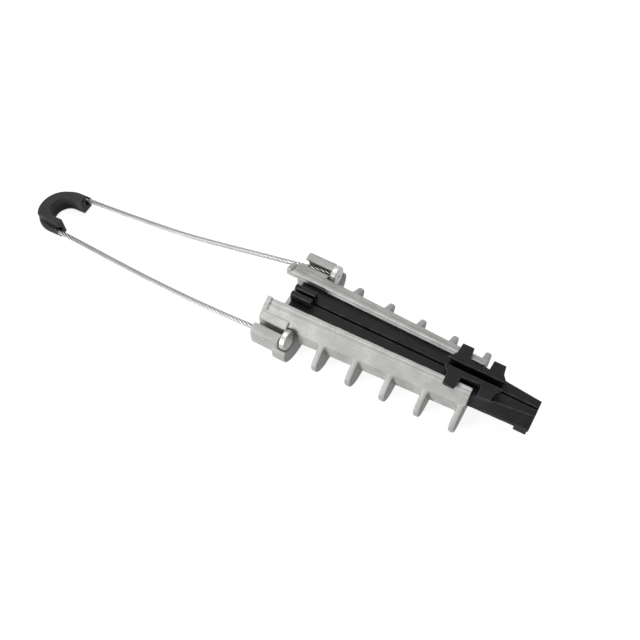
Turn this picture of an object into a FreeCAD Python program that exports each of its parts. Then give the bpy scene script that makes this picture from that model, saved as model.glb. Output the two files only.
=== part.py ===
"""Wedge dead end clamp for an insulated messenger, with its wire rope bail.

Millimetres. The casting's axis runs along X, from the wide end that takes the bail to the narrow end that
the conductor leaves. Z is up, and the hoops and the saddle stand on Z = 0. Sizes along X are counted from
the casting's wide end, and the whole is then shifted so that the casting and wedges are centred on the origin.
"""
import FreeCAD, Part
import math
import os
import re

import Sketcher

SIZES = {
    # casting: a tapered trough with lips that hold the wedges down
    "cast_long": 217.0,
    "cast_high": 54.0,
    "lip_half": 17.7,
    "lip_half_end": 13.4,
    "lip_thick": 7.7,
    "room_half": 25.4,
    "room_half_end": 17.5,
    "shoulder_half": 32.0,
    "shoulder_half_end": 22.1,
    "shoulder_drop": 6.3,
    "wall_half": 37.4,
    "wall_half_end": 27.5,
    "wall_drop": 13.4,
    "wall_foot_drop": 30.7,
    "floor_drop": 31.0,
    "floor_thick": 5.0,
    "belly_side": 10.0,
    "step_rise": 1.5,
    "lip_channel_deep": 1.1,
    "lip_channel_wide": 2.0,
    "relief_long": 8.0,
    "relief_half": 33.0,
    # hoops round the trough
    "hoop_first": 33.4,
    "hoop_last_inset": 3.6,
    "hoop_thick": 6.8,
    "hoop_reach": 11.8,
    "hoop_tip_drop": 31.6,
    "hoop_tip_round": 6.4,
    "hoop_foot_half": 14.0,
    # stops on the rails
    "knob_inset": 0.5,
    "knob_long": 5.0,
    "knob_high": 3.0,
    # hook lugs that hold the bail
    "lug_long": 31.0,
    "far_lug_shift": 7.2,
    "lug_half": 55.0,
    "lug_drop": 9.5,
    "lug_plate": 3.3,
    "lug_wall": 4.2,
    "lug_foot_drop": 34.5,
    "lug_arm": 5.0,
    "slot_wide": 6.2,
    "flare_half": 38.3,
    "flare_drop": 10.5,
    "cradle_start": 26.0,
    "cradle_end": 41.2,
    "cradle_side": 46.8,
    "cradle_drop": 30.0,
    "cradle_round": 12.0,
    "seat_room": 1.2,
    # bail: wire rope, two ferrules and a saddle
    "rope_diameter": 5.0,
    "ferrule_diameter": 21.0,
    "ferrule_long": 6.5,
    "ferrule_side": 44.7,
    "ferrule_rim": 0.9,
    "mark_radius": 0.9,
    "mark_deep": 0.5,
    "seat_drop": 16.0,
    "seat_gap": 0.3,
    "saddle_reach": 304.0,
    "saddle_side": 9.2,
    "saddle_high": 18.9,
    "saddle_below": 8.8,
    "saddle_bend": 25.1,
    "crown_radius": 25.6,
    "crown_back": 0.5,
    "crown_side": 4.0,
    "throat_radius": 14.0,
    "throat_back": 1.0,
    "throat_side": 1.0,
    "throat_land": 2.4,
    "throat_dish": 1.8,
    "sleeve_wall": 1.2,
    "tunnel_room": 0.4,
    "tunnel_mouth": 4.2,
    "tunnel_mouth_in": 1.8,
    "tunnel_mouth_deep": 5.0,
    "near_arm": 10.5,
    "far_arm": 14.0,
    "far_arm_flare": 0.8,
    "near_flat_half": 22.6,
    "near_flat_lean": 0.123,
    "dimple_radius": 1.1,
    "dimple_deep": 3.0,
    "dimple_side": 17.0,
    "dimple_up": 7.2,
    # wedge halves
    "wedge_start": 19.7,
    "wedge_end": 278.0,
    "wedge_gap": 0.3,
    "seam_gap": 0.6,
    "seam_bevel": 1.2,
    "seam_bevel_deep": 2.0,
    "nose_start": 224.0,
    "nose_waist": 242.0,
    "nose_waist_half": 12.6,
    "nose_half": 8.8,
    "groove_radius": 6.5,
    "groove_drop": 19.0,
    "tooth_deep": 0.9,
    "tooth_pitch": 8.0,
    "tooth_first": 44.0,
    "ear_long": 23.0,
    "ear_in": 1.7,
    "ear_out": 7.0,
    "ear_rise": 3.0,
    "plate_thick": 3.5,
    "plate_in": 3.6,
    "plate_start": 182.5,
    "plate_end": 242.4,
    "wing_half": 23.9,
    "tail_wing_half": 20.6,
    "foot_long": 13.0,
    "foot_drop": 42.0,
    "foot_in": 7.0,
}

# route of the rope in the bail's own plane: distance from the ferrules' faces, and side
NEAR_LEG = [(42.0, -46.2), (100.0, -46.2), (160.0, -43.8), (215.0, -40.0), (258.0, -36.4), (287.0, -34.4)]
FAR_LEG = [
    (287.0, 16.0), (250.0, 17.2), (205.0, 19.4), (165.0, 22.0), (125.0, 27.3), (84.0, 33.6), (48.0, 38.9),
    (22.0, 42.9)]

# shelves that carry the rope round the saddle's lower edge, from the saddle's middle: along the bail, and side
NEAR_SHELF = [("-14", "-18"), ("near_arm", "-18"), ("near_arm", "-25.1"), ("-8", "-24.6"), ("-14", "-22.8")]
FAR_SHELF = [("-6", "18"), ("-6", "21.6"), ("2", "25.8"), ("far_arm", "26.3"), ("far_arm", "18")]

doc = FreeCAD.newDocument("DeadEndClamp")
sheet = doc.addObject("Spreadsheet::Sheet", "Sizes")
for row, (word, number) in enumerate(SIZES.items(), start=1):
    sheet.set("A%d" % row, word)
    sheet.set("B%d" % row, str(number))
    sheet.setAlias("B%d" % row, word)
doc.recompute()

# distances that several pieces share, as formulas in the sheet's words
ORIGIN_X = "(wedge_end / 2)"
FLOOR_TOP = "(cast_high - floor_drop)"
LIP_UNDER = "(cast_high - lip_thick)"
WALL_TAPER = "((wall_half - wall_half_end) / cast_long)"
ROOM_TAPER = "((room_half - room_half_end) / cast_long)"
HOOP_COUNT = 6
HOOP_PITCH = "((cast_long - hoop_last_inset - hoop_first) / %d)" % (HOOP_COUNT - 1)
SLOT_OUT = "(flare_half + slot_wide)"
SEAT_Z = "(cast_high - seat_drop)"
BAIL_REACH = "(saddle_reach - crown_back + crown_radius)"
BAIL_TILT = "(asin(%s / sqrt(%s ^ 2 + saddle_below ^ 2)) - atan(saddle_below / %s))" % (
    SEAT_Z, BAIL_REACH, BAIL_REACH)
FAR_SEAT_Z = "(%s + far_lug_shift * sin(%s))" % (SEAT_Z, BAIL_TILT)
SEAT_X = "(lug_long + ferrule_long + seat_gap + ferrule_diameter / 2 * sin(%s))" % BAIL_TILT
SADDLE_MIDDLE = "(saddle_high / 2 - saddle_below)"
SADDLE_CUT = "(2 * saddle_high + 2)"
SADDLE_OUT = "(crown_radius + 15)"


def formula(text):
    """Turn a formula in the sheet's words into one that an expression can read."""
    return re.sub(r"[a-z_]+", lambda m: "Sizes." + m.group() if m.group() in SIZES else m.group(), text)


def value(text):
    """The number that a formula gives now."""
    return float(sheet.evalExpression(formula(str(text))))


def new_body(label):
    """An empty body whose label names its file."""
    body = doc.addObject("PartDesign::Body", label)
    body.Label = label
    return body


def place_on_casting(item):
    """Shift a piece that is drawn from the casting's wide end to the common origin."""
    item.setExpression("Placement.Base.x", formula("-" + ORIGIN_X))


def place_on_bail(item):
    """Put a piece that is drawn in the bail's flat plane where its ferrules sit and its saddle lies."""
    item.Placement = FreeCAD.Placement(FreeCAD.Vector(), FreeCAD.Rotation(FreeCAD.Vector(0, -1, 0), 1))
    item.setExpression("Placement.Rotation.Angle", formula(BAIL_TILT))
    item.setExpression("Placement.Base.x", formula("%s - %s" % (SEAT_X, ORIGIN_X)))
    item.setExpression("Placement.Base.z", formula(SEAT_Z))


def new_sketch(body, name, plane, offset="0"):
    """A sketch on one of the body's own origin planes, moved along that plane's normal."""
    item = body.newObject("Sketcher::SketchObject", name)
    base = [part for part in body.Origin.OriginFeatures if part.Role == plane][0]
    item.AttachmentSupport = [(base, "")]
    item.MapMode = "FlatFace"
    item.AttachmentOffset = FreeCAD.Placement(FreeCAD.Vector(0, 0, value(offset)), FreeCAD.Rotation())
    item.setExpression("AttachmentOffset.Base.z", formula(offset))
    return item


def bind(item, kind, geometry, point, text):
    """Hold one coordinate of a sketch point at a formula."""
    number = item.addConstraint(Sketcher.Constraint(kind, -1, 1, geometry, point, value(text)))
    item.setExpression("Constraints[%d]" % number, formula(str(text)))


def draw_polygon(item, corners):
    """Close a polygon whose corners are pairs of formulas."""
    first = item.GeometryCount
    count = len(corners)
    spots = [FreeCAD.Vector(value(across), value(up), 0) for across, up in corners]
    for k in range(count):
        item.addGeometry(Part.LineSegment(spots[k], spots[(k + 1) % count]), False)
    for k in range(count):
        item.addConstraint(Sketcher.Constraint("Coincident", first + k, 2, first + (k + 1) % count, 1))
    for k, (across, up) in enumerate(corners):
        bind(item, "DistanceX", first + k, 1, across)
        bind(item, "DistanceY", first + k, 1, up)


def draw_circle(item, across, up, radius):
    """A circle whose centre and radius are formulas."""
    centre = FreeCAD.Vector(value(across), value(up), 0)
    number = item.addGeometry(Part.Circle(centre, FreeCAD.Vector(0, 0, 1), value(radius)), False)
    bind(item, "DistanceX", number, 3, across)
    bind(item, "DistanceY", number, 3, up)
    size = item.addConstraint(Sketcher.Constraint("Radius", number, value(radius)))
    item.setExpression("Constraints[%d]" % size, formula(radius))


def mirrored(corners):
    """The same outline on the other side of the casting's middle."""
    return [("-(%s)" % across, up) for across, up in reversed(corners)]


def both_sides(item, corners):
    """Draw an outline and its mirror image in one sketch."""
    draw_polygon(item, corners)
    draw_polygon(item, mirrored(corners))


def pad(body, sketch, length, name):
    """Extrude a sketch along its normal."""
    feature = body.newObject("PartDesign::Pad", name)
    feature.Profile = sketch
    feature.Length = value(length)
    feature.setExpression("Length", formula(length))
    body.Tip = feature
    return feature


def pocket(body, sketch, length, name, both=False):
    """Cut a sketch along its normal, or as far each way."""
    feature = body.newObject("PartDesign::Pocket", name)
    feature.Profile = sketch
    feature.Length = value(length)
    feature.setExpression("Length", formula(length))
    feature.Reversed = not both
    feature.Midplane = both
    body.Tip = feature
    return feature


def loft(body, kind, sketches, name):
    """A ruled loft through several sketches, added or cut."""
    feature = body.newObject("PartDesign::" + kind, name)
    feature.Profile = sketches[0]
    feature.Sections = sketches[1:]
    feature.Ruled = True
    body.Tip = feature
    return feature


def cut_cylinder(body, name, radius, length, start, side, up):
    """Cut a round hole that runs along X."""
    feature = body.newObject("PartDesign::SubtractiveCylinder", name)
    feature.Placement = FreeCAD.Placement(
        FreeCAD.Vector(value(start), value(side), value(up)), FreeCAD.Rotation(FreeCAD.Vector(0, 1, 0), 90))
    for prop, text in (("Radius", radius), ("Height", length), ("Placement.Base.x", start),
                       ("Placement.Base.y", side), ("Placement.Base.z", up)):
        feature.setExpression(prop, formula(text))
    feature.Radius = value(radius)
    feature.Height = value(length)
    body.Tip = feature
    return feature


def trough_skin(body, name, offset, lip, shoulder, wall):
    """Outer outline of the casting across X, stepped down from the lips to the walls."""
    rail = "(%s - %s)" % (shoulder, lip)
    half = [
        (lip, "cast_high"),
        ("%s + %s * 0.33" % (lip, rail), "cast_high - 0.3"),
        ("%s + %s * 0.39" % (lip, rail), "cast_high - 0.3 - step_rise"),
        ("%s + %s * 0.68" % (lip, rail), "cast_high - 0.6 - step_rise"),
        ("%s + %s * 0.74" % (lip, rail), "cast_high - 0.6 - 2 * step_rise"),
        (shoulder, "cast_high - shoulder_drop"),
        (wall, "cast_high - wall_drop"),
        (wall, "cast_high - wall_foot_drop"),
        ("%s - belly_side" % wall, "cast_high - floor_drop - floor_thick"),
    ]
    item = new_sketch(body, name, "YZ_Plane", offset)
    draw_polygon(item, half + mirrored(half))
    return item


def trough_room(body, name, offset, lip, room):
    """Outline of the wedges' room and the gap between the lips."""
    half = [
        (lip, "cast_high + 1"),
        (lip, "cast_high - 1.6"),
        ("%s + lip_channel_deep" % lip, "cast_high - 2.2"),
        ("%s + lip_channel_deep" % lip, "cast_high - 2.2 - lip_channel_wide"),
        (lip, "cast_high - 2.8 - lip_channel_wide"),
        (lip, LIP_UNDER),
        (room, LIP_UNDER),
        (room, FLOOR_TOP),
    ]
    item = new_sketch(body, name, "YZ_Plane", offset)
    draw_polygon(item, half + mirrored(half))
    return item


def add_hoop(body, number):
    """One hoop that runs under the trough and stands out at both sides."""
    middle = "(hoop_first + %d * %s)" % (number, HOOP_PITCH)
    wall = "(wall_half - %s * %s)" % (WALL_TAPER, middle)
    tip = "(%s + hoop_reach)" % wall
    tip_up = "(cast_high - hoop_tip_drop)"
    flank = [
        ("%s - 5" % wall, "cast_high - wall_drop - 1"),
        (wall, "cast_high - wall_drop"),
        ("%s + hoop_tip_round * 0.74" % tip, "%s + hoop_tip_round * 0.67" % tip_up),
        (tip, tip_up),
        ("%s - hoop_tip_round * 0.44" % tip, "%s - hoop_tip_round * 0.9" % tip_up),
        ("hoop_foot_half", "0"),
    ]
    hoop = new_sketch(body, "HoopOutline%d" % number, "YZ_Plane", "%s - hoop_thick / 2" % middle)
    draw_polygon(hoop, flank + mirrored(flank))
    pad(body, hoop, "hoop_thick", "Hoop%d" % number)
    tips = new_sketch(body, "HoopTips%d" % number, "YZ_Plane", "%s - hoop_thick / 2" % middle)
    for side in ("", "-"):
        draw_circle(tips, side + tip, tip_up, "hoop_tip_round")
    pad(body, tips, "hoop_thick", "HoopTipRounds%d" % number)


def add_knobs(body):
    """Stops across both rails, which the wedges' wings would meet."""
    item = new_sketch(body, "KnobOutline", "YZ_Plane", "knob_inset")
    both_sides(item, [
        ("lip_half + 0.4", "cast_high - 3"),
        ("lip_half + 0.4", "cast_high + knob_high"),
        ("shoulder_half - 2.5", "cast_high - 2.2"),
        ("shoulder_half - 1", "cast_high - shoulder_drop - 1"),
    ])
    pad(body, item, "knob_long", "Knobs")


def add_lug(body, name, side, start, seat_up):
    """One hook lug: a flared wall, a slot that the rope drops through, a C-shaped hook and a ferrule cradle."""
    def sided(corners):
        return corners if side > 0 else mirrored(corners)

    flare = new_sketch(body, name + "FlareOutline", "YZ_Plane", start)
    draw_polygon(flare, sided([
        ("shoulder_half - 3", "cast_high - shoulder_drop - 0.4"),
        ("shoulder_half + 1", "cast_high - shoulder_drop + 0.2"),
        ("flare_half - 1.5", "cast_high - flare_drop + 1.2"),
        ("flare_half", "cast_high - flare_drop"),
        ("flare_half", "cast_high - flare_drop - 2.5"),
        ("wall_half - 1", "cast_high - flare_drop - 6"),
    ]))
    pad(body, flare, "lug_long", name + "Flare")
    hook = new_sketch(body, name + "HookOutline", "YZ_Plane", start)
    draw_polygon(hook, sided([
        (SLOT_OUT, "cast_high - lug_drop"),
        ("lug_half - 2.6", "cast_high - lug_drop"),
        ("lug_half - 0.7", "cast_high - lug_drop - 0.8"),
        ("lug_half", "cast_high - lug_drop - 2.8"),
        ("lug_half", "cast_high - lug_foot_drop + 2.5"),
        ("lug_half - 2.5", "cast_high - lug_foot_drop"),
        ("wall_half - 5", "cast_high - lug_foot_drop"),
        ("wall_half - 5", "cast_high - lug_foot_drop + lug_arm"),
        ("lug_half - lug_wall", "cast_high - lug_foot_drop + lug_arm"),
        ("lug_half - lug_wall", "cast_high - lug_drop - lug_plate"),
        (SLOT_OUT, "cast_high - lug_drop - lug_plate"),
    ]))
    pad(body, hook, "lug_long", name + "Hook")
    cradle_up = "(cast_high - cradle_drop)"
    cradle = new_sketch(body, name + "CradleOutline", "YZ_Plane", "%s + cradle_start" % start)
    draw_polygon(cradle, sided([
        ("wall_half - 7", "cast_high - seat_drop"),
        ("cradle_side", cradle_up),
        ("cradle_side + cradle_round * 0.37", "%s - cradle_round * 0.93" % cradle_up),
        ("hoop_foot_half", "0"),
        ("hoop_foot_half", FLOOR_TOP + " - 1"),
    ]))
    pad(body, cradle, "cradle_end - cradle_start", name + "Cradle")
    rim = new_sketch(body, name + "CradleRim", "YZ_Plane", "%s + cradle_start" % start)
    draw_circle(rim, "%d * cradle_side" % side, cradle_up, "cradle_round")
    pad(body, rim, "cradle_end - cradle_start", name + "CradleRound")
    way = new_sketch(body, name + "RopeWayOutline", "YZ_Plane", "%s + cradle_start - 1" % start)
    draw_polygon(way, sided([
        ("flare_half - 1", "cast_high - lug_foot_drop + lug_arm"),
        ("lug_half - lug_wall", "cast_high - lug_foot_drop + lug_arm"),
        ("lug_half - lug_wall", "cast_high - lug_drop - lug_plate"),
        ("flare_half - 1", "cast_high - lug_drop - lug_plate"),
    ]))
    pocket(body, way, "lug_long - cradle_start + 1", name + "RopeWay")
    cut_cylinder(body, name + "Seat", "ferrule_diameter / 2 + seat_room", "cradle_end - lug_long + seat_room",
                 "%s + lug_long" % start, "%d * ferrule_side" % side, seat_up)


def make_casting():
    """The aluminium casting: trough, lips, hoops, stops and hook lugs in one piece."""
    body = new_body("clamp_body")
    skins = [
        trough_skin(body, "WideSkin", "0", "lip_half", "shoulder_half", "wall_half"),
        trough_skin(body, "NarrowSkin", "cast_long", "lip_half_end", "shoulder_half_end", "wall_half_end"),
    ]
    loft(body, "AdditiveLoft", skins, "Trough")
    for number in range(HOOP_COUNT):
        add_hoop(body, number)
    add_knobs(body)
    add_lug(body, "Near", -1, "0", SEAT_Z)
    add_lug(body, "Far", 1, "far_lug_shift", FAR_SEAT_Z)
    rooms = [
        trough_room(body, "WideRoom", "-1",
                    "(lip_half + (lip_half - lip_half_end) / cast_long)",
                    "(room_half + %s)" % ROOM_TAPER),
        trough_room(body, "NarrowRoom", "cast_long + 1",
                    "(lip_half_end - (lip_half - lip_half_end) / cast_long)",
                    "(room_half_end - %s)" % ROOM_TAPER),
    ]
    loft(body, "SubtractiveLoft", rooms, "Room")
    relief = new_sketch(body, "ReliefOutline", "YZ_Plane", "-1")
    draw_polygon(relief, [
        ("-relief_half", "-1"),
        ("relief_half", "-1"),
        ("relief_half", LIP_UNDER),
        ("-relief_half", LIP_UNDER),
    ])
    pocket(body, relief, "relief_long + 1", "WideEndRelief")
    place_on_casting(body)
    return body


def wedge_section(body, name, offset, side, top_half, foot_half):
    """Outline of one wedge half across X: flat top, sloping flank and upright foot."""
    seam = "seam_gap / 2"
    top = LIP_UNDER + " - wedge_gap"
    foot = FLOOR_TOP + " + wedge_gap"
    corners = [
        (seam, top + " - seam_bevel_deep"),
        (seam + " + seam_bevel", top),
        (top_half, top),
        (foot_half, foot + " + 6"),
        (foot_half, foot),
        (seam, foot),
    ]
    item = new_sketch(body, name, "YZ_Plane", offset)
    draw_polygon(item, corners if side > 0 else mirrored(corners))
    return item


def wedge_half_width(distance):
    """Half-width that leaves the wedge its running gap in the room at a distance along X."""
    return "(room_half - %s * %s - wedge_gap)" % (ROOM_TAPER, distance)


def make_wedge(label, side):
    """One plastic wedge half, with its ear, wings, cable groove and stop foot."""
    body = new_body(label)

    def sided(corners):
        return [("(%s)" % along, across if side > 0 else "-(%s)" % across) for along, across in corners]

    stations = [("wedge_start", None), ("nose_start", None), ("nose_waist", "nose_waist_half"),
                ("wedge_end", "nose_half")]
    sections = []
    for number, (offset, top_half) in enumerate(stations):
        foot_half = wedge_half_width(offset)
        sections.append(wedge_section(body, "Section%d" % number, offset, side, top_half or foot_half, foot_half))
    loft(body, "AdditiveLoft", sections, "Block")

    ear = new_sketch(body, "EarOutline", "XY_Plane", "cast_high - groove_drop")
    draw_polygon(ear, sided([
        ("wedge_start - 1", "ear_in"),
        ("wedge_start - 1 + ear_long", "ear_in"),
        ("wedge_start - 1 + ear_long", "ear_out"),
        ("wedge_start - 1", "ear_out"),
    ]))
    pad(body, ear, "groove_drop + ear_rise", "Ear")

    web = new_sketch(body, "WebOutline", "XY_Plane", "cast_high - lip_thick - 2")
    draw_polygon(web, sided([
        ("plate_start + 2", "plate_in"),
        ("plate_end - 2", "plate_in"),
        ("plate_end - 6", "plate_in + 4.6"),
        ("plate_start + 5", "plate_in + 4.6"),
    ]))
    pad(body, web, "lip_thick + 3", "Web")

    plate = new_sketch(body, "PlateOutline", "XY_Plane", "cast_high + wedge_gap")
    draw_polygon(plate, sided([
        ("plate_start", "plate_in"),
        ("plate_start + 6.4", "12.2"),
        ("plate_start + 7.3", "wing_half"),
        ("plate_start + 19.1", "wing_half"),
        ("plate_start + 20.6", "10.2"),
        ("plate_end - 20", "8.4"),
        ("plate_end - 19.2", "tail_wing_half"),
        ("plate_end - 7", "tail_wing_half"),
        ("plate_end - 5.6", "11.6"),
        ("plate_end", "plate_in"),
    ]))
    pad(body, plate, "plate_thick", "Wings")

    foot = new_sketch(body, "FootOutline", "XY_Plane", "cast_high - foot_drop")
    draw_polygon(foot, sided([
        ("wedge_end - foot_long - 1", "foot_in"),
        ("wedge_end - 1", "foot_in"),
        ("wedge_end - 1", "foot_in + 6"),
        ("wedge_end - foot_long - 1", "foot_in + 6"),
    ]))
    pad(body, foot, "foot_drop - floor_drop + 3", "Foot")

    cut_cylinder(body, "CableGroove", "groove_radius", "wedge_end - wedge_start + 10", "wedge_start - 5", "0",
                 "cast_high - groove_drop")
    tooth = cut_cylinder(body, "ToothGap", "groove_radius + tooth_deep", "tooth_pitch / 2", "tooth_first", "0",
                         "cast_high - groove_drop")
    teeth = body.newObject("PartDesign::LinearPattern", "ToothGaps")
    teeth.Originals = [tooth]
    axis = [part for part in body.Origin.OriginFeatures if part.Role == "X_Axis"][0]
    teeth.Direction = (axis, [""])
    teeth.Occurrences = 20
    teeth.setExpression("Length", formula("tooth_pitch * 19"))
    body.Tip = teeth
    place_on_casting(body)
    return body


def rope_points():
    """Corners of the rope's route in the bail's plane, from the near ferrule's back to the far one's."""
    reach = value("saddle_reach")
    side = value("-saddle_side")
    bend = value("saddle_bend")
    corner = bend / math.cos(math.radians(22.5))
    turn = [(reach + corner * math.cos(math.radians(a)), side + corner * math.sin(math.radians(a)))
            for a in (-67.5, -22.5, 22.5, 67.5)]
    start = value("ferrule_long")
    far_start = value("ferrule_long - far_lug_shift")
    out = value("ferrule_side")
    flat = [(start, -out)] + NEAR_LEG + turn + FAR_LEG + [(far_start, out)]
    return [FreeCAD.Vector(-along, across, 0) for along, across in flat]


def rounded_route(points):
    """Straight runs joined by tangent arcs, each arc as large as its two runs allow."""
    edges = []
    radii = []
    here = points[0]
    for before, corner, after in zip(points, points[1:], points[2:]):
        back = (before - corner).normalize()
        ahead = (after - corner).normalize()
        half_turn = (math.pi - back.getAngle(ahead)) / 2
        trim = 0.45 * min((before - corner).Length, (after - corner).Length)
        radius = trim / math.tan(half_turn)
        start = corner + back * trim
        end = corner + ahead * trim
        bisector = (back + ahead).normalize()
        middle = corner + bisector * (radius / math.cos(half_turn) - radius)
        edges.append(Part.LineSegment(here, start).toShape())
        edges.append(Part.Arc(start, middle, end).toShape())
        radii.append(round(radius, 1))
        here = end
    edges.append(Part.LineSegment(here, points[-1]).toShape())
    return Part.Wire(edges), radii


def tube_along(wire, radius):
    """A round solid of one radius along a flat route."""
    start = wire.Edges[0].Vertexes[0].Point
    heading = wire.Edges[0].tangentAt(wire.Edges[0].FirstParameter)
    ring = Part.Wire(Part.makeCircle(radius, start, heading))
    return wire.makePipeShell([ring], True, False)


def make_rope():
    """The wire rope, as one plain tube from ferrule to ferrule."""
    wire, radii = rounded_route(rope_points())
    radius = value("rope_diameter / 2")
    item = doc.addObject("Part::Feature", "bail_rope")
    item.Label = "bail_rope"
    item.Shape = tube_along(wire, radius)
    place_on_bail(item)
    print("rope length %.1f, volume %.0f against section times length %.0f"
          % (wire.Length, item.Shape.Volume, math.pi * radius ** 2 * wire.Length))
    print("rope radii", radii)
    return item


def make_ferrule(label, side, ahead):
    """A round ferrule swaged on one end of the rope, with a chamfered rim and a centre mark."""
    body = new_body(label)
    ring = new_sketch(body, "Ring", "YZ_Plane", ahead + " - ferrule_long")
    draw_circle(ring, side, "0", "ferrule_diameter / 2")
    pad(body, ring, "ferrule_long", "Barrel")
    mark = new_sketch(body, "Mark", "YZ_Plane", ahead + " - mark_deep")
    draw_circle(mark, side, "0", "mark_radius")
    marked = pocket(body, mark, "2 * mark_deep", "CentreMark")
    doc.recompute()
    rim_radius = value("ferrule_diameter / 2")
    edges = [number for number, edge in enumerate(marked.Shape.Edges, start=1)
             if hasattr(edge.Curve, "Radius") and abs(edge.Curve.Radius - rim_radius) < 0.1]
    rim = body.newObject("PartDesign::Chamfer", "Rim")
    rim.Base = (marked, ["Edge%d" % number for number in edges])
    rim.setExpression("Size", formula("ferrule_rim"))
    body.Tip = rim
    place_on_bail(body)
    return body


def rope_tube(body, kind, name, radius, sides):
    """Add or cut a flat-sided half ring and two straight round ends that follow the rope through the saddle."""
    section = new_sketch(body, name + "Section", "XZ_Plane", "saddle_side")
    section.setExpression("AttachmentOffset.Base.x", formula("-saddle_reach"))
    corner = 1 / math.cos(math.pi / sides)
    turns = [2 * math.pi * (k + 0.5) / sides for k in range(sides)]
    draw_polygon(section, [
        ("%.6f * (%s) - saddle_bend" % (corner * math.cos(turn), radius),
         "%.6f * (%s)" % (corner * math.sin(turn), radius)) for turn in turns])
    ring = body.newObject("PartDesign::" + ("Revolution" if kind == "Additive" else "Groove"), name + "Bend")
    ring.Profile = section
    ring.ReferenceAxis = (section, ["V_Axis"])
    ring.Angle = 180
    ring.Midplane = True
    body.Tip = ring
    for end, side, arm_long in (("Near", "-saddle_side - saddle_bend", "near_arm"),
                                ("Far", "-saddle_side + saddle_bend", "far_arm")):
        add_along(body, kind, name + end, radius, arm_long, "-saddle_reach", side)


def add_along(body, kind, name, radius, length, start, side):
    """Add or cut a cylinder that runs along X in the bail's plane."""
    item = body.newObject("PartDesign::%sCylinder" % kind, name)
    item.Placement = FreeCAD.Placement(FreeCAD.Vector(), FreeCAD.Rotation(FreeCAD.Vector(0, 1, 0), 90))
    for prop, text in (("Radius", radius), ("Height", length), ("Placement.Base.x", start),
                       ("Placement.Base.y", side)):
        item.setExpression(prop, formula(text))
    body.Tip = item


def draw_on_saddle(item, corners):
    """A polygon in the saddle's flat plane, its corners counted from the saddle's middle."""
    draw_polygon(item, [("%s - saddle_reach" % along, "%s - saddle_side" % across) for along, across in corners])


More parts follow.
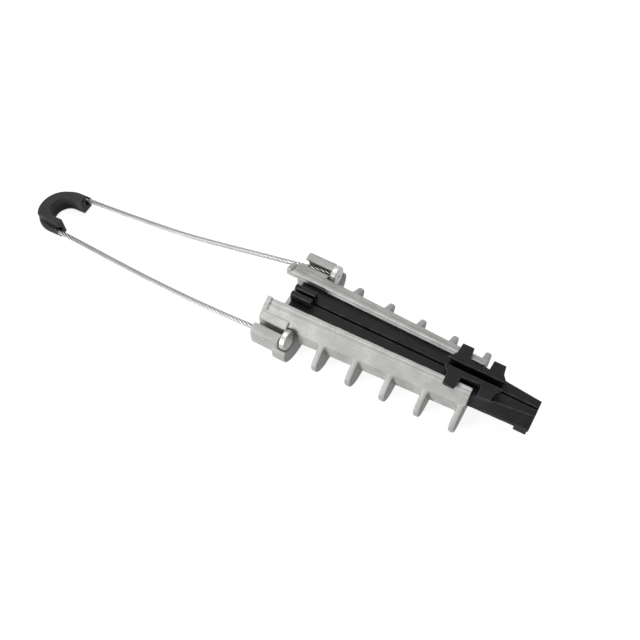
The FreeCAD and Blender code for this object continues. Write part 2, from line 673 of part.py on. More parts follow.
def make_saddle():
    """The plastic saddle that keeps the rope's bend wide: a thick C with a dished throat and a rope sleeve."""
    body = new_body("saddle")
    crown = new_sketch(body, "CrownOutline", "XY_Plane", "-saddle_below")
    draw_circle(crown, "crown_back - saddle_reach", "-saddle_side - crown_side", "crown_radius")
    pad(body, crown, "saddle_high", "Crown")
    far_arm = new_sketch(body, "FarArmOutline", "XY_Plane", "-saddle_below")
    draw_on_saddle(far_arm, [
        ("crown_back", "throat_radius / 2"),
        ("far_arm", "throat_radius / 2"),
        ("far_arm", "crown_radius - crown_side + far_arm_flare"),
        ("crown_back", "crown_radius - crown_side"),
    ])
    pad(body, far_arm, "saddle_high", "FarArm")
    flat = new_sketch(body, "NearFlatOutline", "XY_Plane")
    draw_on_saddle(flat, [
        ("-" + SADDLE_OUT, "near_flat_lean * %s - near_flat_half" % SADDLE_OUT),
        ("-" + SADDLE_OUT, "-" + SADDLE_OUT),
        (SADDLE_OUT, "-" + SADDLE_OUT),
        (SADDLE_OUT, "-near_flat_lean * %s - near_flat_half" % SADDLE_OUT),
    ])
    pocket(body, flat, SADDLE_CUT, "NearFlat", both=True)
    shelves = new_sketch(body, "ShelfOutline", "XY_Plane", "-saddle_below")
    draw_on_saddle(shelves, NEAR_SHELF)
    draw_on_saddle(shelves, FAR_SHELF)
    pad(body, shelves, "saddle_below", "Shelves")
    rope_tube(body, "Additive", "Sleeve", "rope_diameter / 2 + sleeve_wall", 12)
    throat = new_sketch(body, "ThroatOutline", "XY_Plane")
    draw_circle(throat, "throat_back - saddle_reach", "-saddle_side - throat_side", "throat_radius")
    pocket(body, throat, SADDLE_CUT, "Throat", both=True)
    mouth = new_sketch(body, "MouthOutline", "XY_Plane")
    draw_on_saddle(mouth, [
        ("throat_back", "-throat_side - throat_radius"),
        (SADDLE_OUT, "-throat_side - throat_radius"),
        (SADDLE_OUT, "throat_radius - throat_side"),
        ("throat_back", "throat_radius - throat_side"),
    ])
    pocket(body, mouth, SADDLE_CUT, "Mouth", both=True)
    ends = new_sketch(body, "EndOutline", "XY_Plane")
    draw_on_saddle(ends, [
        ("near_arm", "0"),
        ("near_arm", "-" + SADDLE_OUT),
        (SADDLE_OUT, "-" + SADDLE_OUT),
        (SADDLE_OUT, SADDLE_OUT),
        ("far_arm", SADDLE_OUT),
        ("far_arm", "0"),
    ])
    pocket(body, ends, SADDLE_CUT, "Ends", both=True)
    dish = new_sketch(body, "DishOutline", "XZ_Plane", "saddle_side + throat_side")
    dish.setExpression("AttachmentOffset.Base.x", formula("throat_back - saddle_reach"))
    half = "(saddle_high / 2 - throat_land)"
    draw_polygon(dish, [
        ("throat_radius - 2", "%s - %s" % (SADDLE_MIDDLE, half)),
        ("throat_radius", "%s - %s" % (SADDLE_MIDDLE, half)),
        ("throat_radius + throat_dish * 0.75", "%s - %s / 2" % (SADDLE_MIDDLE, half)),
        ("throat_radius + throat_dish", SADDLE_MIDDLE),
        ("throat_radius + throat_dish * 0.75", "%s + %s / 2" % (SADDLE_MIDDLE, half)),
        ("throat_radius", "%s + %s" % (SADDLE_MIDDLE, half)),
        ("throat_radius - 2", "%s + %s" % (SADDLE_MIDDLE, half)),
    ])
    groove = body.newObject("PartDesign::Groove", "Dish")
    groove.Profile = dish
    groove.ReferenceAxis = (dish, ["V_Axis"])
    groove.Angle = 360
    body.Tip = groove
    rope_tube(body, "Subtractive", "Tunnel", "rope_diameter / 2 + tunnel_room", 8)
    for end, arm, side in (("Near", "near_arm", "-saddle_side - saddle_bend + tunnel_mouth_in"),
                           ("Far", "far_arm", "-saddle_side + saddle_bend - tunnel_mouth_in")):
        add_along(body, "Subtractive", end + "TunnelMouth", "tunnel_mouth", "tunnel_mouth_deep + 1",
                  "%s - saddle_reach - tunnel_mouth_deep" % arm, side)
    dimple = new_sketch(body, "DimpleOutline", "YZ_Plane", "far_arm - saddle_reach - dimple_deep")
    draw_circle(dimple, "dimple_side - saddle_side", "dimple_up", "dimple_radius")
    pocket(body, dimple, "dimple_deep + 1", "FarEndDimple")
    place_on_bail(body)
    return body


def write_parts(items):
    """Check every object of the document, then write each sub-part to its own file."""
    doc.recompute()
    for thing in doc.Objects:
        if "Invalid" in thing.State or "Error" in thing.State:
            raise RuntimeError("%s did not compute: %s" % (thing.Name, thing.State))
    for item in items:
        if item.Shape.isNull() or not item.Shape.isValid():
            raise RuntimeError("%s has no valid shape" % item.Label)
    os.makedirs("parts", exist_ok=True)
    for item in items:
        item.Shape.exportStep("parts/%s.step" % item.Label)
        print("%-14s volume %9.0f  solids %d" % (item.Label, item.Shape.Volume, len(item.Shape.Solids)))


write_parts([
    make_casting(),
    make_wedge("wedge_near", -1),
    make_wedge("wedge_far", 1),
    make_rope(),
    make_ferrule("ferrule_near", "-ferrule_side", "0"),
    make_ferrule("ferrule_far", "ferrule_side", "far_lug_shift"),
    make_saddle(),
])
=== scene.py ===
"""Looks of the wedge dead end clamp: casting, wedge halves, wire rope bail and saddle."""

import math

import bmesh
import bpy
import numpy as np
from mathutils import Matrix, Vector


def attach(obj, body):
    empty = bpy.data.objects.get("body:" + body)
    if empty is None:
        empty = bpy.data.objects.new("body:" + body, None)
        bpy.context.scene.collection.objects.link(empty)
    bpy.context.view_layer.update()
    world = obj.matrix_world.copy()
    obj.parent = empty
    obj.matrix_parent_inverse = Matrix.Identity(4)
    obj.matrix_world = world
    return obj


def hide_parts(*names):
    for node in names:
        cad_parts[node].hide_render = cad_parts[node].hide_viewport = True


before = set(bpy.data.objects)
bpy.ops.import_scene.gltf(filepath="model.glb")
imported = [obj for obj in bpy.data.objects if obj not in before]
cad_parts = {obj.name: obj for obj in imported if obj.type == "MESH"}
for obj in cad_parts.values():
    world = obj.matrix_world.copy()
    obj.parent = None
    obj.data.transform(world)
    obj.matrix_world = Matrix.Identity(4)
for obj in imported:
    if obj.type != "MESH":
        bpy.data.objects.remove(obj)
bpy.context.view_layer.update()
scene = bpy.context.scene

# Camera

CAMERA_PLACE = (0.1275, -0.41184, 0.79523)
CAMERA_OFF_NADIR = math.radians(31.034)
CAMERA_HEADING = math.radians(27.885)
CAMERA_ROLL = math.radians(0.943)
PHOTO_WIDTH = 640
PHOTO_FOCAL = 897.6
SENSOR_WIDTH = 36.0


def set_camera():
    """The camera at the photograph's viewing angle."""
    lens = bpy.data.cameras.new("photo_camera")
    lens.sensor_width = SENSOR_WIDTH
    lens.lens = SENSOR_WIDTH * PHOTO_FOCAL / PHOTO_WIDTH
    lens.clip_start = 0.01
    lens.clip_end = 20.0
    camera = bpy.data.objects.new("photo_camera", lens)
    turn = (Matrix.Rotation(CAMERA_HEADING, 4, "Z") @ Matrix.Rotation(CAMERA_OFF_NADIR, 4, "X")
            @ Matrix.Rotation(CAMERA_ROLL, 4, "Z"))
    camera.matrix_world = Matrix.Translation(CAMERA_PLACE) @ turn
    scene.collection.objects.link(camera)
    scene.camera = camera


set_camera()

# Wire rope: its route in the bail's flat plane, along from the ferrules' seat and to the side

BAIL_TILT = math.radians(5.0964)
BAIL_BACK = Vector((math.cos(BAIL_TILT), 0.0, math.sin(BAIL_TILT)))
BAIL_NORMAL = Vector((-math.sin(BAIL_TILT), 0.0, math.cos(BAIL_TILT)))
BAIL_SEAT = Vector((-0.10027, 0.0, 0.038))
ROPE_ROUTE = [
    (0.0065, -0.0447), (0.042, -0.0462), (0.100, -0.0462), (0.160, -0.0438), (0.215, -0.0400),
    (0.258, -0.0364), (0.287, -0.0344), (0.3144, -0.0343), (0.3291, -0.0196), (0.3291, 0.0012),
    (0.3144, 0.0159), (0.287, 0.0160), (0.250, 0.0172), (0.205, 0.0194), (0.165, 0.0220),
    (0.125, 0.0273), (0.084, 0.0336), (0.048, 0.0389), (0.022, 0.0429), (-0.0007, 0.0447),
]
ROUTE_FINENESS = 32
ROPE_RADIUS = 0.0025
STRANDS = 6
STRAND_RADIUS = 0.0008
CORE_RADIUS = 0.00095
STRAND_LAY = 0.032
STRAND_STEP = 0.0011
STRAND_SIDES = 10
GAP_DEPTH = 0.0007


def on_bail(along, side):
    """A point of the bail's flat plane in the clamp's frame."""
    return BAIL_SEAT - BAIL_BACK * along + Vector((0.0, side, 0.0))


def spline_points():
    """The points that Blender gives along a smooth spline that the route controls."""
    route = bpy.data.curves.new("rope_route", "CURVE")
    route.dimensions = "3D"
    route.resolution_u = ROUTE_FINENESS
    spline = route.splines.new("NURBS")
    spline.points.add(len(ROPE_ROUTE) - 1)
    for point, (along, side) in zip(spline.points, ROPE_ROUTE):
        point.co = (*on_bail(along, side), 1.0)
    spline.order_u = 3
    spline.use_endpoint_u = True
    holder = bpy.data.objects.new("rope_route", route)
    scene.collection.objects.link(holder)
    line = bpy.data.meshes.new_from_object(holder)
    points = [vertex.co.copy() for vertex in line.vertices]
    bpy.data.objects.remove(holder)
    bpy.data.meshes.remove(line)
    return points


def rope_line():
    """Evenly spaced points along the rope's centreline, and its length."""
    raw = spline_points()
    reach = [0.0]
    for before, after in zip(raw, raw[1:]):
        reach.append(reach[-1] + (after - before).length)
    count = round(reach[-1] / STRAND_STEP)
    points = []
    k = 0
    for number in range(count + 1):
        wanted = reach[-1] * number / count
        while k < len(raw) - 2 and reach[k + 1] < wanted:
            k += 1
        share = (wanted - reach[k]) / (reach[k + 1] - reach[k])
        points.append(raw[k].lerp(raw[k + 1], share))
    return points, reach[-1]


def square_to(points, number):
    """The two directions square to a line of points at one of them: in the bail's plane and out of it."""
    before = points[max(number - 1, 0)]
    after = points[min(number + 1, len(points) - 1)]
    heading = (after - before).normalized()
    across = BAIL_NORMAL.cross(heading).normalized()
    return across, heading.cross(across)


def add_tube(mesh, centres, radius):
    """Skin a round tube over a line of centres and close its ends."""
    rings = []
    for number, centre in enumerate(centres):
        across, up = square_to(centres, number)
        ring = []
        for side in range(STRAND_SIDES):
            angle = 2 * math.pi * side / STRAND_SIDES
            out = across * math.cos(angle) + up * math.sin(angle)
            ring.append(mesh.verts.new(centre + out * radius))
        rings.append(ring)
    for ring, following in zip(rings, rings[1:]):
        for side in range(STRAND_SIDES):
            other = (side + 1) % STRAND_SIDES
            mesh.faces.new((ring[side], ring[other], following[other], following[side]))
    mesh.faces.new(reversed(rings[0]))
    mesh.faces.new(rings[-1])


def strand_centres(points, strand):
    """The centreline of one outer strand, wound round the rope's."""
    lay_circle = ROPE_RADIUS - STRAND_RADIUS
    centres = []
    for number, centre in enumerate(points):
        across, up = square_to(points, number)
        angle = 2 * math.pi * (strand / STRANDS + number * STRAND_STEP / STRAND_LAY)
        out = across * math.cos(angle) + up * math.sin(angle)
        centres.append(centre + out * lay_circle)
    return centres


def mark_gaps(data, points):
    """Store how far out each point of the strands lies: 0 down in the gaps, 1 on the crowns."""
    spots = np.empty(len(data.vertices) * 3)
    data.vertices.foreach_get("co", spots)
    centres = np.repeat(np.array(points), STRAND_SIDES, axis=0)
    out = np.linalg.norm(spots.reshape(STRANDS + 1, -1, 3) - centres, axis=2)
    crown = np.clip(1 - (ROPE_RADIUS - out) / GAP_DEPTH, 0, 1)
    data.attributes.new("crown", "FLOAT", "POINT").data.foreach_set("value", crown.ravel())


def lay_strands(points):
    """Outer strands laid round a core strand, all along the rope's centreline."""
    mesh = bmesh.new()
    add_tube(mesh, points, CORE_RADIUS)
    for strand in range(STRANDS):
        add_tube(mesh, strand_centres(points, strand), STRAND_RADIUS)
    data = bpy.data.meshes.new("rope_strands")
    mesh.to_mesh(data)
    mesh.free()
    data.shade_smooth()
    mark_gaps(data, points)
    strands = bpy.data.objects.new("rope_strands", data)
    scene.collection.objects.link(strands)
    return strands


rope_points, rope_length = rope_line()
rope = lay_strands(rope_points)

# Casting: sizes of the forms that its cast roundings follow

WIDE_END = -0.139
CASTING_LONG = 0.217
WALL_HALF = 0.0374
WALL_HALF_END = 0.0275
WALL_SKIN = 0.0015
UNDERSIDE_TOP = 0.018
RAIL_FOOT = 0.0406

HOOPS = 6
HOOP_FIRST = 0.0334
HOOP_LAST_INSET = 0.0036
HOOP_SPREAD = CASTING_LONG - HOOP_LAST_INSET - HOOP_FIRST
HOOP_THICK = 0.0068
HOOP_OUT = 0.0118
HOOP_TIP_ROUND = 0.0064
HOOP_TIP_UP = 0.0224
HOOP_FLAT_HALF = 0.030

LUG_STARTS = {-1: 0.0, 1: 0.0072}
LUG_LONG = 0.034
LUG_INNER = 0.034
LUG_PLATE_FOOT = 0.0265
CRADLE_START = 0.026
CRADLE_END = 0.0412
CRADLE_TIP = 0.0588
CRADLE_TIP_UP = 0.024
CRADLE_FLAT_HALF = 0.028

FLANK_INNER = 0.014
FLANK_INNER_UP = 0.018
FLANK_TIP_INSET = 0.008
FLANK_POINTS = 12

# Even grids: the size of their squares, the share of faces kept, and how often each form is eased

CAST_GRID = 0.0006
CAST_SHARE = 0.33
RAIL_ROUNDS = 2
LUG_ROUNDS = 12
HOOP_ROUNDS = 30
SADDLE_GRID = 0.00035
SADDLE_SHARE = 0.6
SADDLE_ROUNDS = 5
WEDGE_GRID = 0.00055
WEDGE_SHARE = 0.35
WEDGE_ROUNDS = 2

# Edge marks: how far round a point its neighbours count, and the squares from a full hollow to a full edge

CREST_REACH = 3
CREST_FULL = 0.6


def wall_at(along):
    """Half-width of the trough's outer walls at a distance along X from the wide end."""
    return WALL_HALF - along * (WALL_HALF - WALL_HALF_END) / CASTING_LONG


def rounds_at(spots):
    """How many times each point of the casting is eased, from where it lies."""
    along, side, up = spots[:, 0], np.abs(spots[:, 1]), spots[:, 2]
    outside = (side > wall_at(along - WIDE_END) - WALL_SKIN) | (up < UNDERSIDE_TOP)
    rounds = np.where(outside & (up < RAIL_FOOT), HOOP_ROUNDS, RAIL_ROUNDS)
    lug = (along < WIDE_END + LUG_LONG) & (side > LUG_INNER) & (up > LUG_PLATE_FOOT)
    return np.where(lug, LUG_ROUNDS, rounds)


def eased(spots, ends, rounds):
    """Draw points towards the middle of their neighbours, each as many times as it is given."""
    near, far = ends[:, 0], ends[:, 1]
    count = np.bincount(near, minlength=len(spots)) + np.bincount(far, minlength=len(spots))
    for number in range(rounds.max()):
        total = np.empty_like(spots)
        for axis in range(3):
            total[:, axis] = (np.bincount(near, weights=spots[far, axis], minlength=len(spots))
                              + np.bincount(far, weights=spots[near, axis], minlength=len(spots)))
        middle = total / count[:, None]
        spots = np.where((rounds > number)[:, None], (spots + middle) / 2, spots)
    return spots


def mark_crests(data, ends, grid):
    """Store how each point stands to its neighbours: 0 in a hollow, a half on the flat, 1 on an edge."""
    spots = np.empty(len(data.vertices) * 3)
    data.vertices.foreach_get("co", spots)
    spots = spots.reshape(-1, 3)
    normals = np.empty(len(data.vertices) * 3)
    data.vertex_normals.foreach_get("vector", normals)
    everywhere = np.full(len(spots), CREST_REACH)
    rise = spots - eased(spots, ends, everywhere)
    crest = 0.5 + (rise * normals.reshape(-1, 3)).sum(axis=1) / (grid * CREST_FULL)
    data.attributes.new("crest", "FLOAT", "POINT").data.foreach_set("value", np.clip(crest, 0, 1))


def settled(piece):
    """Put a piece's modifiers into its mesh."""
    shown = piece.evaluated_get(bpy.context.evaluated_depsgraph_get())
    data = bpy.data.meshes.new_from_object(shown)
    piece.modifiers.clear()
    piece.data = data


def even_piece(label, mesh, grid, share, rounds_of):
    """A piece on an even grid, eased by place and then thinned out."""
    data = bpy.data.meshes.new(label)
    mesh.to_mesh(data)
    mesh.free()
    piece = bpy.data.objects.new(label, data)
    scene.collection.objects.link(piece)
    even = piece.modifiers.new("even_grid", "REMESH")
    even.mode = "VOXEL"
    even.voxel_size = grid
    settled(piece)
    data = piece.data
    spots = np.empty(len(data.vertices) * 3)
    data.vertices.foreach_get("co", spots)
    spots = spots.reshape(-1, 3)
    ends = np.empty(len(data.edges) * 2, dtype=np.int64)
    data.edges.foreach_get("vertices", ends)
    ends = ends.reshape(-1, 2)
    spots = eased(spots, ends, rounds_of(spots))
    data.vertices.foreach_set("co", spots.ravel())
    mark_crests(data, ends, grid)
    thin = piece.modifiers.new("thinned", "DECIMATE")
    thin.ratio = share
    settled(piece)
    piece.data.materials.clear()
    piece.data.shade_smooth()
    return piece


def node_mesh(node):
    """A copy of a CAD node's mesh."""
    mesh = bmesh.new()
    mesh.from_mesh(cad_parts[node].data)
    return mesh


def add_flank(mesh, start, thick, side, tip, tip_up, flat_half):
    """One side of a hoop below its tip: a quarter ellipse that runs out into the flat under the trough."""
    half = [(FLANK_INNER, 0.0)]
    for k in range(FLANK_POINTS + 1):
        turn = math.pi / 2 * (1 - k / FLANK_POINTS)
        half.append((flat_half + (tip - flat_half) * math.cos(turn), tip_up * (1 - math.sin(turn))))
    half += [(tip - FLANK_TIP_INSET, tip_up), (FLANK_INNER, FLANK_INNER_UP)]
    rings = [[mesh.verts.new((along, side * across, up)) for across, up in half]
             for along in (start, start + thick)]
    if side < 0:
        rings.reverse()
    for k in range(len(half)):
        other = (k + 1) % len(half)
        mesh.faces.new((rings[0][k], rings[1][k], rings[1][other], rings[0][other]))
    mesh.faces.new(rings[0])
    mesh.faces.new(reversed(rings[1]))


def make_cast_trough():
    """The casting: crisp rails, and hoops, lugs and cradles with a cast piece's full roundings."""
    mesh = node_mesh("clamp_body")
    for side, shift in LUG_STARTS.items():
        for number in range(HOOPS):
            middle = HOOP_FIRST + number * HOOP_SPREAD / (HOOPS - 1)
            add_flank(mesh, WIDE_END + middle - HOOP_THICK / 2, HOOP_THICK, side,
                      wall_at(middle) + (HOOP_OUT + HOOP_TIP_ROUND), HOOP_TIP_UP, HOOP_FLAT_HALF)
        add_flank(mesh, WIDE_END + shift + CRADLE_START, CRADLE_END - CRADLE_START, side, CRADLE_TIP,
                  CRADLE_TIP_UP, CRADLE_FLAT_HALF)
    piece = even_piece("cast_trough", mesh, CAST_GRID, CAST_SHARE, rounds_at)
    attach(piece, "clamp")
    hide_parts("clamp_body")
    return piece


def make_moulded(node, label, body, grid, share, rounds):
    """A plastic piece with a moulding's small roundings."""
    piece = even_piece(label, node_mesh(node), grid, share, lambda spots: np.full(len(spots), rounds))
    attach(piece, body)
    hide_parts(node)
    return piece


# Ferrules, whose turned rims are broken by a small round

FERRULE_EDGE = 0.0008
FERRULE_SHARP = math.radians(28.0)
SAME_PLACE = 2e-6
SAME_PLANE = math.radians(1.0)


def make_ferrule(node, label):
    """A turned ferrule with rounded rims and an even shine round its side."""
    mesh = node_mesh(node)
    bmesh.ops.remove_doubles(mesh, verts=mesh.verts, dist=SAME_PLACE)
    bmesh.ops.dissolve_limit(mesh, angle_limit=SAME_PLANE, verts=mesh.verts, edges=mesh.edges)
    data = bpy.data.meshes.new(label)
    mesh.to_mesh(data)
    mesh.free()
    data.materials.clear()
    data.shade_smooth()
    piece = bpy.data.objects.new(label, data)
    scene.collection.objects.link(piece)
    rims = piece.modifiers.new("rounded_edges", "BEVEL")
    rims.width = FERRULE_EDGE
    rims.segments = 3
    rims.limit_method = "ANGLE"
    rims.angle_limit = FERRULE_SHARP
    rims.use_clamp_overlap = False
    shine = piece.modifiers.new("even_shine", "WEIGHTED_NORMAL")
    shine.keep_sharp = False
    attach(piece, "bail")
    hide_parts(node)
    return piece


casting = make_cast_trough()
saddle = make_moulded("saddle", "rope_saddle", "bail", SADDLE_GRID, SADDLE_SHARE, SADDLE_ROUNDS)
wedge_near = make_moulded("wedge_near", "near_wedge_half", "near_wedge", WEDGE_GRID, WEDGE_SHARE,
                          WEDGE_ROUNDS)
wedge_far = make_moulded("wedge_far", "far_wedge_half", "far_wedge", WEDGE_GRID, WEDGE_SHARE,
                         WEDGE_ROUNDS)
ferrule_near = make_ferrule("ferrule_near", "near_ferrule_turned")
ferrule_far = make_ferrule("ferrule_far", "far_ferrule_turned")

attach(rope, "bail")
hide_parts("bail_rope")

# Shader groups: grain, and painted highlights on edges with painted shade in hollows

GRAIN_DEPTH = 0.0002
# Crest ranges for the painted shade in hollows and the painted highlight on edges
HOLLOW_FROM = 0.30
HOLLOW_TO = 0.46
EDGE_FROM = 0.58
EDGE_TO = 0.68


def new_group(name, inputs, outputs):
    """An empty shader group with named value inputs, each with its default, and named outputs."""
    group = bpy.data.node_groups.new(name, "ShaderNodeTree")
    for label, default in inputs:
        socket = group.interface.new_socket(label, in_out="INPUT", socket_type="NodeSocketFloat")
        socket.default_value = default
    for label, kind in outputs:
        group.interface.new_socket(label, in_out="OUTPUT", socket_type=kind)
    return group, group.nodes.new("NodeGroupInput"), group.nodes.new("NodeGroupOutput")


def surface_grain():
    """Fine grain: a broad mottle, a fine speckle and the normal that the speckle gives."""
    group, given, made = new_group(
        "SurfaceGrain",
        [("Mottle Scale", 60.0), ("Speckle Scale", 1800.0), ("Height", 0.2)],
        [("Mottle", "NodeSocketFloat"), ("Speckle", "NodeSocketFloat"), ("Normal", "NodeSocketVector")])
    place = group.nodes.new("ShaderNodeTexCoord")
    mottle = group.nodes.new("ShaderNodeTexNoise")
    mottle.inputs["Detail"].default_value = 4.0
    speckle = group.nodes.new("ShaderNodeTexNoise")
    speckle.inputs["Detail"].default_value = 6.0
    speckle.inputs["Roughness"].default_value = 0.65
    bump = group.nodes.new("ShaderNodeBump")
    bump.inputs["Distance"].default_value = GRAIN_DEPTH
    link = group.links.new
    link(place.outputs["Object"], mottle.inputs["Vector"])
    link(place.outputs["Object"], speckle.inputs["Vector"])
    link(given.outputs["Mottle Scale"], mottle.inputs["Scale"])
    link(given.outputs["Speckle Scale"], speckle.inputs["Scale"])
    link(given.outputs["Height"], bump.inputs["Strength"])
    link(speckle.outputs["Fac"], bump.inputs["Height"])
    link(mottle.outputs["Fac"], made.inputs["Mottle"])
    link(speckle.outputs["Fac"], made.inputs["Speckle"])
    link(bump.outputs["Normal"], made.inputs["Normal"])
    return group


def crest_painted_light():
    """A tint that paints highlights on edges and paints shade into hollows, from the marks on the
    even-grid pieces.
    """
    group, given, made = new_group(
        "CrestPaintedLight", [("Hollow", 0.7), ("Edge", 1.3)], [("Tint", "NodeSocketFloat")])
    # Painted light: lighter edges are a painted highlight, darker hollows are painted shade
    mark = group.nodes.new("ShaderNodeAttribute")
    mark.attribute_name = "crest"
    low = group.nodes.new("ShaderNodeMapRange")
    low.inputs["From Min"].default_value = HOLLOW_FROM
    low.inputs["From Max"].default_value = HOLLOW_TO
    low.inputs["To Max"].default_value = 1.0
    high = group.nodes.new("ShaderNodeMapRange")
    high.inputs["From Min"].default_value = EDGE_FROM
    high.inputs["From Max"].default_value = EDGE_TO
    high.inputs["To Min"].default_value = 1.0
    both = group.nodes.new("ShaderNodeMath")
    both.operation = "MULTIPLY"
    link = group.links.new
    link(mark.outputs["Fac"], low.inputs["Value"])
    link(mark.outputs["Fac"], high.inputs["Value"])
    link(given.outputs["Hollow"], low.inputs["To Min"])
    link(given.outputs["Edge"], high.inputs["To Max"])
    link(low.outputs["Result"], both.inputs[0])
    link(high.outputs["Result"], both.inputs[1])
    link(both.outputs["Value"], made.inputs["Tint"])
    return group


GRAIN = surface_grain()
# The group that paints highlights on edges and shade in hollows
PAINTED_CREST_LIGHT = crest_painted_light()

# Finishes

MOTTLE_SHARE = 0.55
SPECKLE_SHARE = 0.45
DARK_UP_TO = 0.42
LIGHT_FROM = 0.62
# Ramp positions and colour of the painted shade in the rope's strand gaps
GAP_UP_TO = 0.76
CROWN_FROM = 0.97
GAP_PAINTED_SHADE = (0.01, 0.01, 0.011, 1.0)


def grained(name, dark, light, metallic, rough, mottle, speckle, height, specular=0.5):
    """A grained finish that runs from a darker to a lighter colour and from one roughness to another."""
    material = bpy.data.materials.new(name)
    material.use_nodes = True
    tree = material.node_tree
    shader = tree.nodes["Principled BSDF"]
    shader.inputs["Metallic"].default_value = metallic
    shader.inputs["Specular IOR Level"].default_value = specular
    grain = tree.nodes.new("ShaderNodeGroup")
    grain.node_tree = GRAIN
    grain.inputs["Mottle Scale"].default_value = mottle
    grain.inputs["Speckle Scale"].default_value = speckle
    grain.inputs["Height"].default_value = height
    broad = tree.nodes.new("ShaderNodeMath")
    broad.operation = "MULTIPLY"
    broad.inputs[1].default_value = MOTTLE_SHARE
    blend = tree.nodes.new("ShaderNodeMath")
    blend.operation = "MULTIPLY_ADD"
    blend.inputs[1].default_value = SPECKLE_SHARE
    colour = tree.nodes.new("ShaderNodeValToRGB")
    colour.color_ramp.elements[0].position = DARK_UP_TO
    colour.color_ramp.elements[0].color = (*dark, 1.0)
    colour.color_ramp.elements[1].position = LIGHT_FROM
    colour.color_ramp.elements[1].color = (*light, 1.0)
    gloss = tree.nodes.new("ShaderNodeMapRange")
    gloss.inputs["To Min"].default_value = rough[0]
    gloss.inputs["To Max"].default_value = rough[1]
    link = tree.links.new
    link(grain.outputs["Mottle"], broad.inputs[0])
    link(grain.outputs["Speckle"], blend.inputs[0])
    link(broad.outputs["Value"], blend.inputs[2])
    link(blend.outputs["Value"], colour.inputs["Fac"])
    link(grain.outputs["Mottle"], gloss.inputs["Value"])
    link(colour.outputs["Color"], shader.inputs["Base Color"])
    link(gloss.outputs["Result"], shader.inputs["Roughness"])
    link(grain.outputs["Normal"], shader.inputs["Normal"])
    return material


def paint_crest_light(material, hollow, edge):
    """Tint a finish by the crest group: painted shade in hollows, painted highlights on edges."""
    tree = material.node_tree
    shader = tree.nodes["Principled BSDF"]
    crest_light_node = tree.nodes.new("ShaderNodeGroup")
    crest_light_node.node_tree = PAINTED_CREST_LIGHT
    crest_light_node.inputs["Hollow"].default_value = hollow
    crest_light_node.inputs["Edge"].default_value = edge
    # Painted light: the base colour is scaled up on edges and down in hollows
    tinted = tree.nodes.new("ShaderNodeVectorMath")
    tinted.operation = "SCALE"
    plain = shader.inputs["Base Color"].links[0].from_socket
    tree.links.new(plain, tinted.inputs[0])
    tree.links.new(crest_light_node.outputs["Tint"], tinted.inputs["Scale"])
    tree.links.new(tinted.outputs["Vector"], shader.inputs["Base Color"])
    return material


def blasted_aluminium():
    """Matt shot-blasted casting, with painted shade in its corners and painted highlights on its edges."""
    material = grained("blasted_aluminium", dark=(0.44, 0.435, 0.42), light=(0.60, 0.595, 0.58),
                       metallic=0.06, rough=(0.45, 0.6), mottle=55.0, speckle=650.0, height=0.45,
                       specular=0.35)
    # Painted shade in the hollows and painted highlights on the edges
    return paint_crest_light(material, hollow=0.62, edge=1.3)


def charcoal_plastic():
    """Charcoal moulding of the wedge halves, with painted highlights along its edges and painted shade in
    its hollows.
    """
    material = grained("charcoal_plastic", dark=(0.0035, 0.0037, 0.0044), light=(0.0145, 0.015, 0.0165),
                       metallic=0.0, rough=(0.42, 0.6), mottle=90.0, speckle=700.0, height=0.5,
                       specular=0.15)
    # Painted highlights on the edges and painted shade in the hollows
    return paint_crest_light(material, hollow=0.6, edge=7.0)


def black_nylon():
    """Fine matt black nylon of the saddle, with painted highlights on its edges and painted shade in its
    hollows.
    """
    material = grained("black_nylon", dark=(0.015, 0.015, 0.0155), light=(0.026, 0.026, 0.027),
                       metallic=0.0, rough=(0.45, 0.62), mottle=70.0, speckle=900.0, height=0.35,
                       specular=0.25)
    # Painted highlights on the edges and painted shade in the hollows
    return paint_crest_light(material, hollow=0.7, edge=2.4)


def turned_steel():
    """Turned steel of the ferrules."""
    return grained("turned_steel", dark=(0.46, 0.46, 0.45), light=(0.58, 0.58, 0.57), metallic=0.8,
                   rough=(0.36, 0.48), mottle=90.0, speckle=1500.0, height=0.12)


def bright_wire():
    """Bright drawn wire with painted shade down in the gaps between the strands."""
    material = grained("bright_wire", dark=(0.70, 0.70, 0.70), light=(0.88, 0.88, 0.88), metallic=0.9,
                       rough=(0.24, 0.38), mottle=300.0, speckle=3000.0, height=0.2)
    tree = material.node_tree
    shader = tree.nodes["Principled BSDF"]
    # Painted shade: the wire colour is multiplied darker down in the gaps between the strands
    crown = tree.nodes.new("ShaderNodeAttribute")
    crown.attribute_name = "crown"
    depth = tree.nodes.new("ShaderNodeValToRGB")
    depth.color_ramp.elements[0].position = GAP_UP_TO
    depth.color_ramp.elements[0].color = GAP_PAINTED_SHADE
    depth.color_ramp.elements[1].position = CROWN_FROM
    depth.color_ramp.elements[1].color = (1.0, 1.0, 1.0, 1.0)
    shade = tree.nodes.new("ShaderNodeMix")
    shade.data_type = "RGBA"
    shade.blend_type = "MULTIPLY"
    shade.inputs["Factor"].default_value = 1.0
    wire = shader.inputs["Base Color"].links[0].from_socket
    tree.links.new(crown.outputs["Fac"], depth.inputs["Fac"])
    tree.links.new(wire, shade.inputs["A"])
    tree.links.new(depth.outputs["Color"], shade.inputs["B"])
    tree.links.new(shade.outputs["Result"], shader.inputs["Base Color"])
    return material


def coat(material, *pieces):
    """Give pieces their finish."""
    for piece in pieces:
        piece.data.materials.append(material)


coat(blasted_aluminium(), casting)
coat(charcoal_plastic(), wedge_near, wedge_far)
coat(black_nylon(), saddle)
coat(turned_steel(), ferrule_near, ferrule_far)
coat(bright_wire(), rope)

# Floor and light

FLOOR_HALF = 3.0
FLOOR_COLOUR = (0.30, 0.30, 0.30, 1.0)
FLOOR_GLOW = 0.90
WHITE = (1.0, 1.0, 1.0, 1.0)
SEEN_WORLD = 1.0
FILL_LIGHT = 0.13


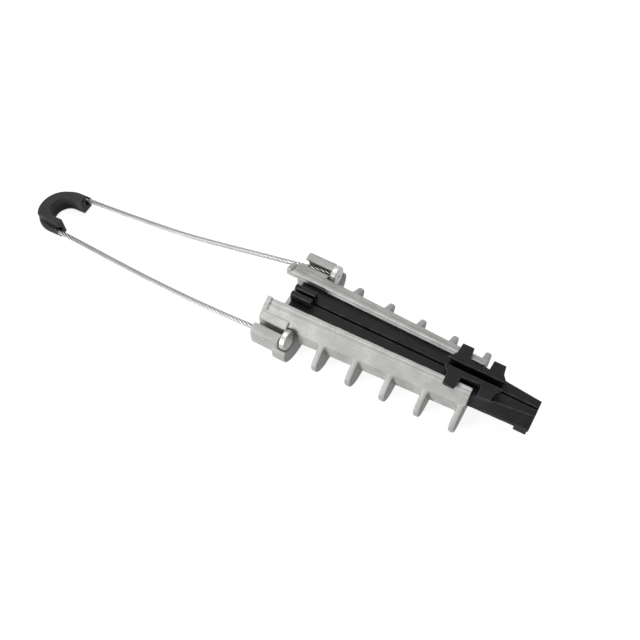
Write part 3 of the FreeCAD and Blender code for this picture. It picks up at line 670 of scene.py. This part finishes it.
def seen_or_mirrored(tree):
    """A value of 1 for rays from the camera, from gloss or through glass, and 0 for the rest."""
    path = tree.nodes.new("ShaderNodeLightPath")
    direct = tree.nodes.new("ShaderNodeMath")
    direct.operation = "MAXIMUM"
    either = tree.nodes.new("ShaderNodeMath")
    either.operation = "MAXIMUM"
    tree.links.new(path.outputs["Is Camera Ray"], direct.inputs[0])
    tree.links.new(path.outputs["Is Glossy Ray"], direct.inputs[1])
    tree.links.new(direct.outputs["Value"], either.inputs[0])
    tree.links.new(path.outputs["Is Transmission Ray"], either.inputs[1])
    return either.outputs["Value"]


def pale_ground():
    """A matt ground that keeps shadows and shows near white where it is seen or mirrored."""
    material = bpy.data.materials.new("pale_floor")
    material.use_nodes = True
    tree = material.node_tree
    tree.nodes.remove(tree.nodes["Principled BSDF"])
    matte = tree.nodes.new("ShaderNodeBsdfDiffuse")
    matte.inputs["Color"].default_value = FLOOR_COLOUR
    lift = tree.nodes.new("ShaderNodeMath")
    lift.operation = "MULTIPLY"
    lift.inputs[1].default_value = FLOOR_GLOW
    glow = tree.nodes.new("ShaderNodeEmission")
    both = tree.nodes.new("ShaderNodeAddShader")
    tree.links.new(seen_or_mirrored(tree), lift.inputs[0])
    tree.links.new(lift.outputs["Value"], glow.inputs["Strength"])
    tree.links.new(matte.outputs["BSDF"], both.inputs[0])
    tree.links.new(glow.outputs["Emission"], both.inputs[1])
    tree.links.new(both.outputs["Shader"], tree.nodes["Material Output"].inputs["Surface"])
    return material


def lay_floor():
    """A wide pale floor that keeps the clamp's soft shadow."""
    mesh = bmesh.new()
    corners = [(-FLOOR_HALF, -FLOOR_HALF), (FLOOR_HALF, -FLOOR_HALF), (FLOOR_HALF, FLOOR_HALF),
               (-FLOOR_HALF, FLOOR_HALF)]
    mesh.faces.new([mesh.verts.new((*corner, 0.0)) for corner in corners])
    data = bpy.data.meshes.new("pale_floor")
    mesh.to_mesh(data)
    mesh.free()
    floor = bpy.data.objects.new("pale_floor", data)
    scene.collection.objects.link(floor)
    coat(pale_ground(), floor)


def light_world():
    """White where the camera and reflections look, and a plain soft fill elsewhere."""
    world = bpy.data.worlds.new("studio")
    scene.world = world
    world.use_nodes = True
    tree = world.node_tree
    background = tree.nodes["Background"]
    background.inputs["Color"].default_value = WHITE
    strength = tree.nodes.new("ShaderNodeMapRange")
    strength.inputs["To Min"].default_value = FILL_LIGHT
    strength.inputs["To Max"].default_value = SEEN_WORLD
    tree.links.new(seen_or_mirrored(tree), strength.inputs["Value"])
    tree.links.new(strength.outputs["Result"], background.inputs["Strength"])


def add_softbox(label, place, aim, width, power):
    """A square softbox that looks at a point."""
    lamp = bpy.data.lights.new(label, "AREA")
    lamp.size = width
    lamp.energy = power
    box = bpy.data.objects.new(label, lamp)
    box.location = place
    box.rotation_euler = (Vector(aim) - Vector(place)).to_track_quat("-Z", "Y").to_euler()
    scene.collection.objects.link(box)


lay_floor()
light_world()
add_softbox("key_softbox", place=(-0.75, -1.5, 0.62), aim=(-0.05, 0.0, 0.03), width=0.6, power=22.0)
add_softbox("top_softbox", place=(-0.5, 0.5, 1.6), aim=(-0.05, 0.0, 0.0), width=1.2, power=14.5)
scene.view_settings.view_transform = "Standard"
